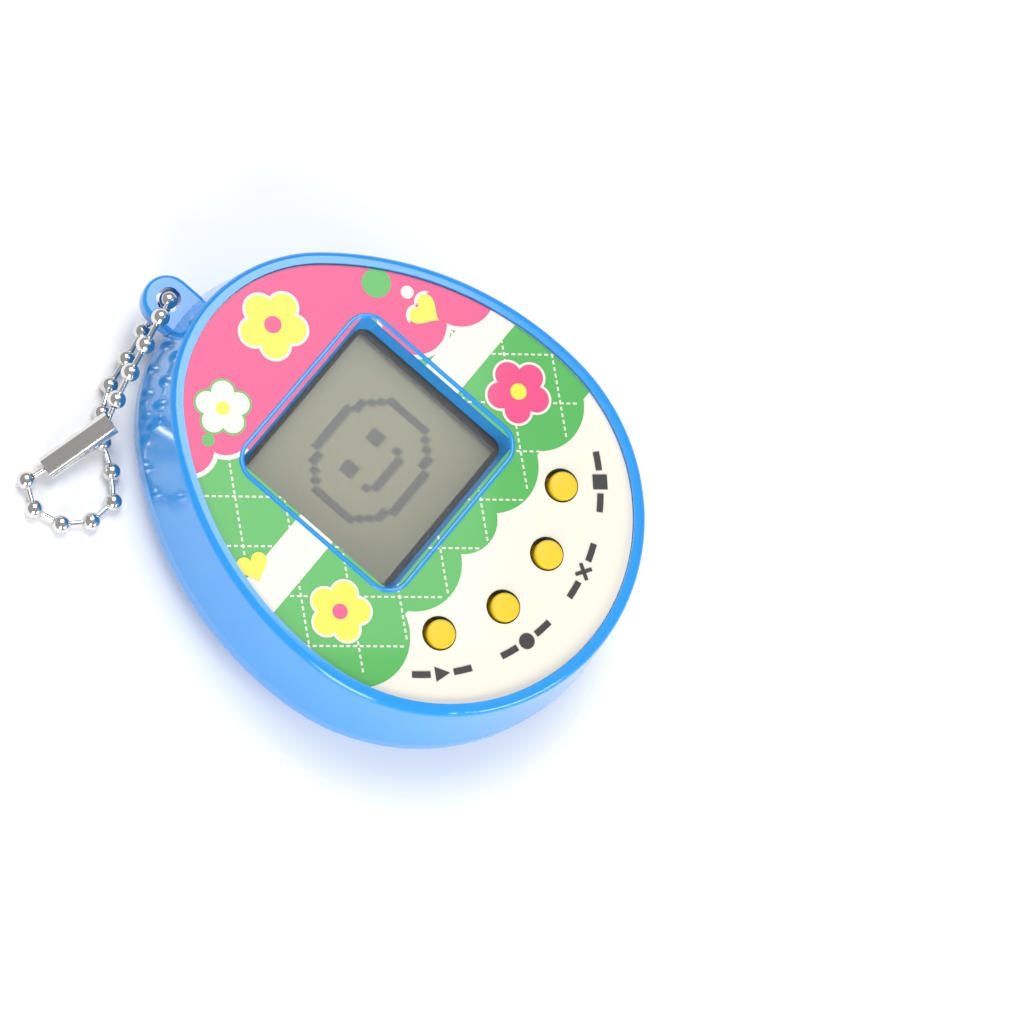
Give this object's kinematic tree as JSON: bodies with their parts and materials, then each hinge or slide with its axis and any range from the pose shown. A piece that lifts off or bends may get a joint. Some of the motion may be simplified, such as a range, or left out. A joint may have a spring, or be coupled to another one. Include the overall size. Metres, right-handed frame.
{
  "type": "virtual pet keychain",
  "caption": "Egg-shaped handheld electronic pet with a square display, push buttons, a printed face, a battery door and a ball chain.",
  "frame": {"origin": "middle of the flat back face, halfway along the face label", "axes": "+Z is the face's outward normal, +Y points to the chain lug at the narrow end, +X is the face's right-hand side"},
  "size_m": [0.0496, 0.0617, 0.0155],
  "materials": {
    "blue_case": "glossy moulded plastic",
    "printed_label": "printed film, satin",
    "clear_window": "clear moulded window",
    "black_foam": "matt foam",
    "display_film": "thin polarising film",
    "display_glass": "thin float glass",
    "reflector_film": "satin reflector",
    "white_tape": "foam tape",
    "zebra_rubber": "layered conductive rubber",
    "board_laminate": "paper laminate with lacquer",
    "black_epoxy": "cured epoxy",
    "plated_steel": "zinc plated",
    "brass_disc": "rolled brass",
    "white_ceramic": "silvered ceramic",
    "wire_sheath": "insulated wire",
    "keypad_rubber": "moulded silicone rubber",
    "carbon_rubber": "conductive rubber",
    "yellow_cap": "satin moulded cap",
    "cell_steel": "bright can",
    "chain_chrome": "nickel plated"
  },
  "bodies": {
    "case": {"front_shell": "blue_case", "back_shell": "blue_case", "face_label": "printed_label", "window_lens": "clear_window", "display_gasket": "black_foam", "front_polariser": "display_film", "front_glass": "display_glass", "rear_glass": "display_glass", "display_reflector": "reflector_film", "display_tape": "white_tape", "zebra_strip": "zebra_rubber", "circuit_board": "board_laminate", "chip_blob": "black_epoxy", "board_resistors": "black_epoxy", "clock_crystal": "plated_steel", "keypad_sheet": "keypad_rubber", "case_screws": "plated_steel", "board_screws": "plated_steel", "sounder_plate": "brass_disc", "sounder_ceramic": "white_ceramic", "sounder_wires": "wire_sheath", "button_cell_left": "cell_steel", "button_cell_right": "cell_steel", "cell_contact_left": "plated_steel", "cell_contact_right": "plated_steel"},
    "battery_door": {"battery_door": "blue_case", "cell_bridge": "plated_steel"},
    "door_screw": {"door_screw": "plated_steel"},
    "chain_upper": {"chain_lug_balls": "chain_chrome", "chain_lug_links": "chain_chrome"},
    "chain_clasp": {"chain_connector": "chain_chrome"},
    "chain_loose_end": {"chain_tail_balls": "chain_chrome", "chain_tail_links": "chain_chrome"},
    "key_select": {"button_select": "yellow_cap", "carbon_pill_select": "carbon_rubber"},
    "key_decide": {"button_decide": "yellow_cap", "carbon_pill_decide": "carbon_rubber"},
    "key_cancel": {"button_cancel": "yellow_cap", "carbon_pill_cancel": "carbon_rubber"},
    "key_reset": {"button_reset": "yellow_cap", "carbon_pill_reset": "carbon_rubber"}
  },
  "joints": [
    {"name": "press_select", "type": "slide", "parent": "case", "child": "key_select", "axis": [0, 0, -1], "range_m": [0, 0.0009], "stiffness_N_per_m": 1100, "deforming": ["keypad_sheet"]},
    {"name": "press_decide", "type": "slide", "parent": "case", "child": "key_decide", "axis": [0, 0, -1], "range_m": [0, 0.0009], "stiffness_N_per_m": 1100, "deforming": ["keypad_sheet"]},
    {"name": "press_cancel", "type": "slide", "parent": "case", "child": "key_cancel", "axis": [0, 0, -1], "range_m": [0, 0.0009], "stiffness_N_per_m": 1100, "deforming": ["keypad_sheet"]},
    {"name": "press_reset", "type": "slide", "parent": "case", "child": "key_reset", "axis": [0, 0, -1], "range_m": [0, 0.0009], "stiffness_N_per_m": 1100, "deforming": ["keypad_sheet"]},
    {"name": "door_lift", "type": "slide", "parent": "case", "child": "battery_door", "axis": [0, 0, -1], "range_m": [0, 0.007]},
    {"name": "door_unscrew", "type": "slide", "parent": "battery_door", "child": "door_screw", "axis": [0, 0, -1], "range_m": [0, 0.005]},
    {"name": "chain_swing", "type": "hinge", "parent": "case", "child": "chain_upper", "pos_m": [0, 0.03045, 0.007], "axis": [0, 0, 1], "range_deg": [-185, 0]},
    {"name": "clasp_turn", "type": "hinge", "parent": "chain_upper", "child": "chain_clasp", "pos_m": [-0.0139, 0.02675, 0.0038], "axis": [0, 0, 1], "range_deg": [-6, 12]},
    {"name": "loose_end_turn", "type": "hinge", "parent": "chain_clasp", "child": "chain_loose_end", "pos_m": [-0.02, 0.0283, 0.00165], "axis": [0, 0, 1], "range_deg": [-6, 6]}
  ]
}
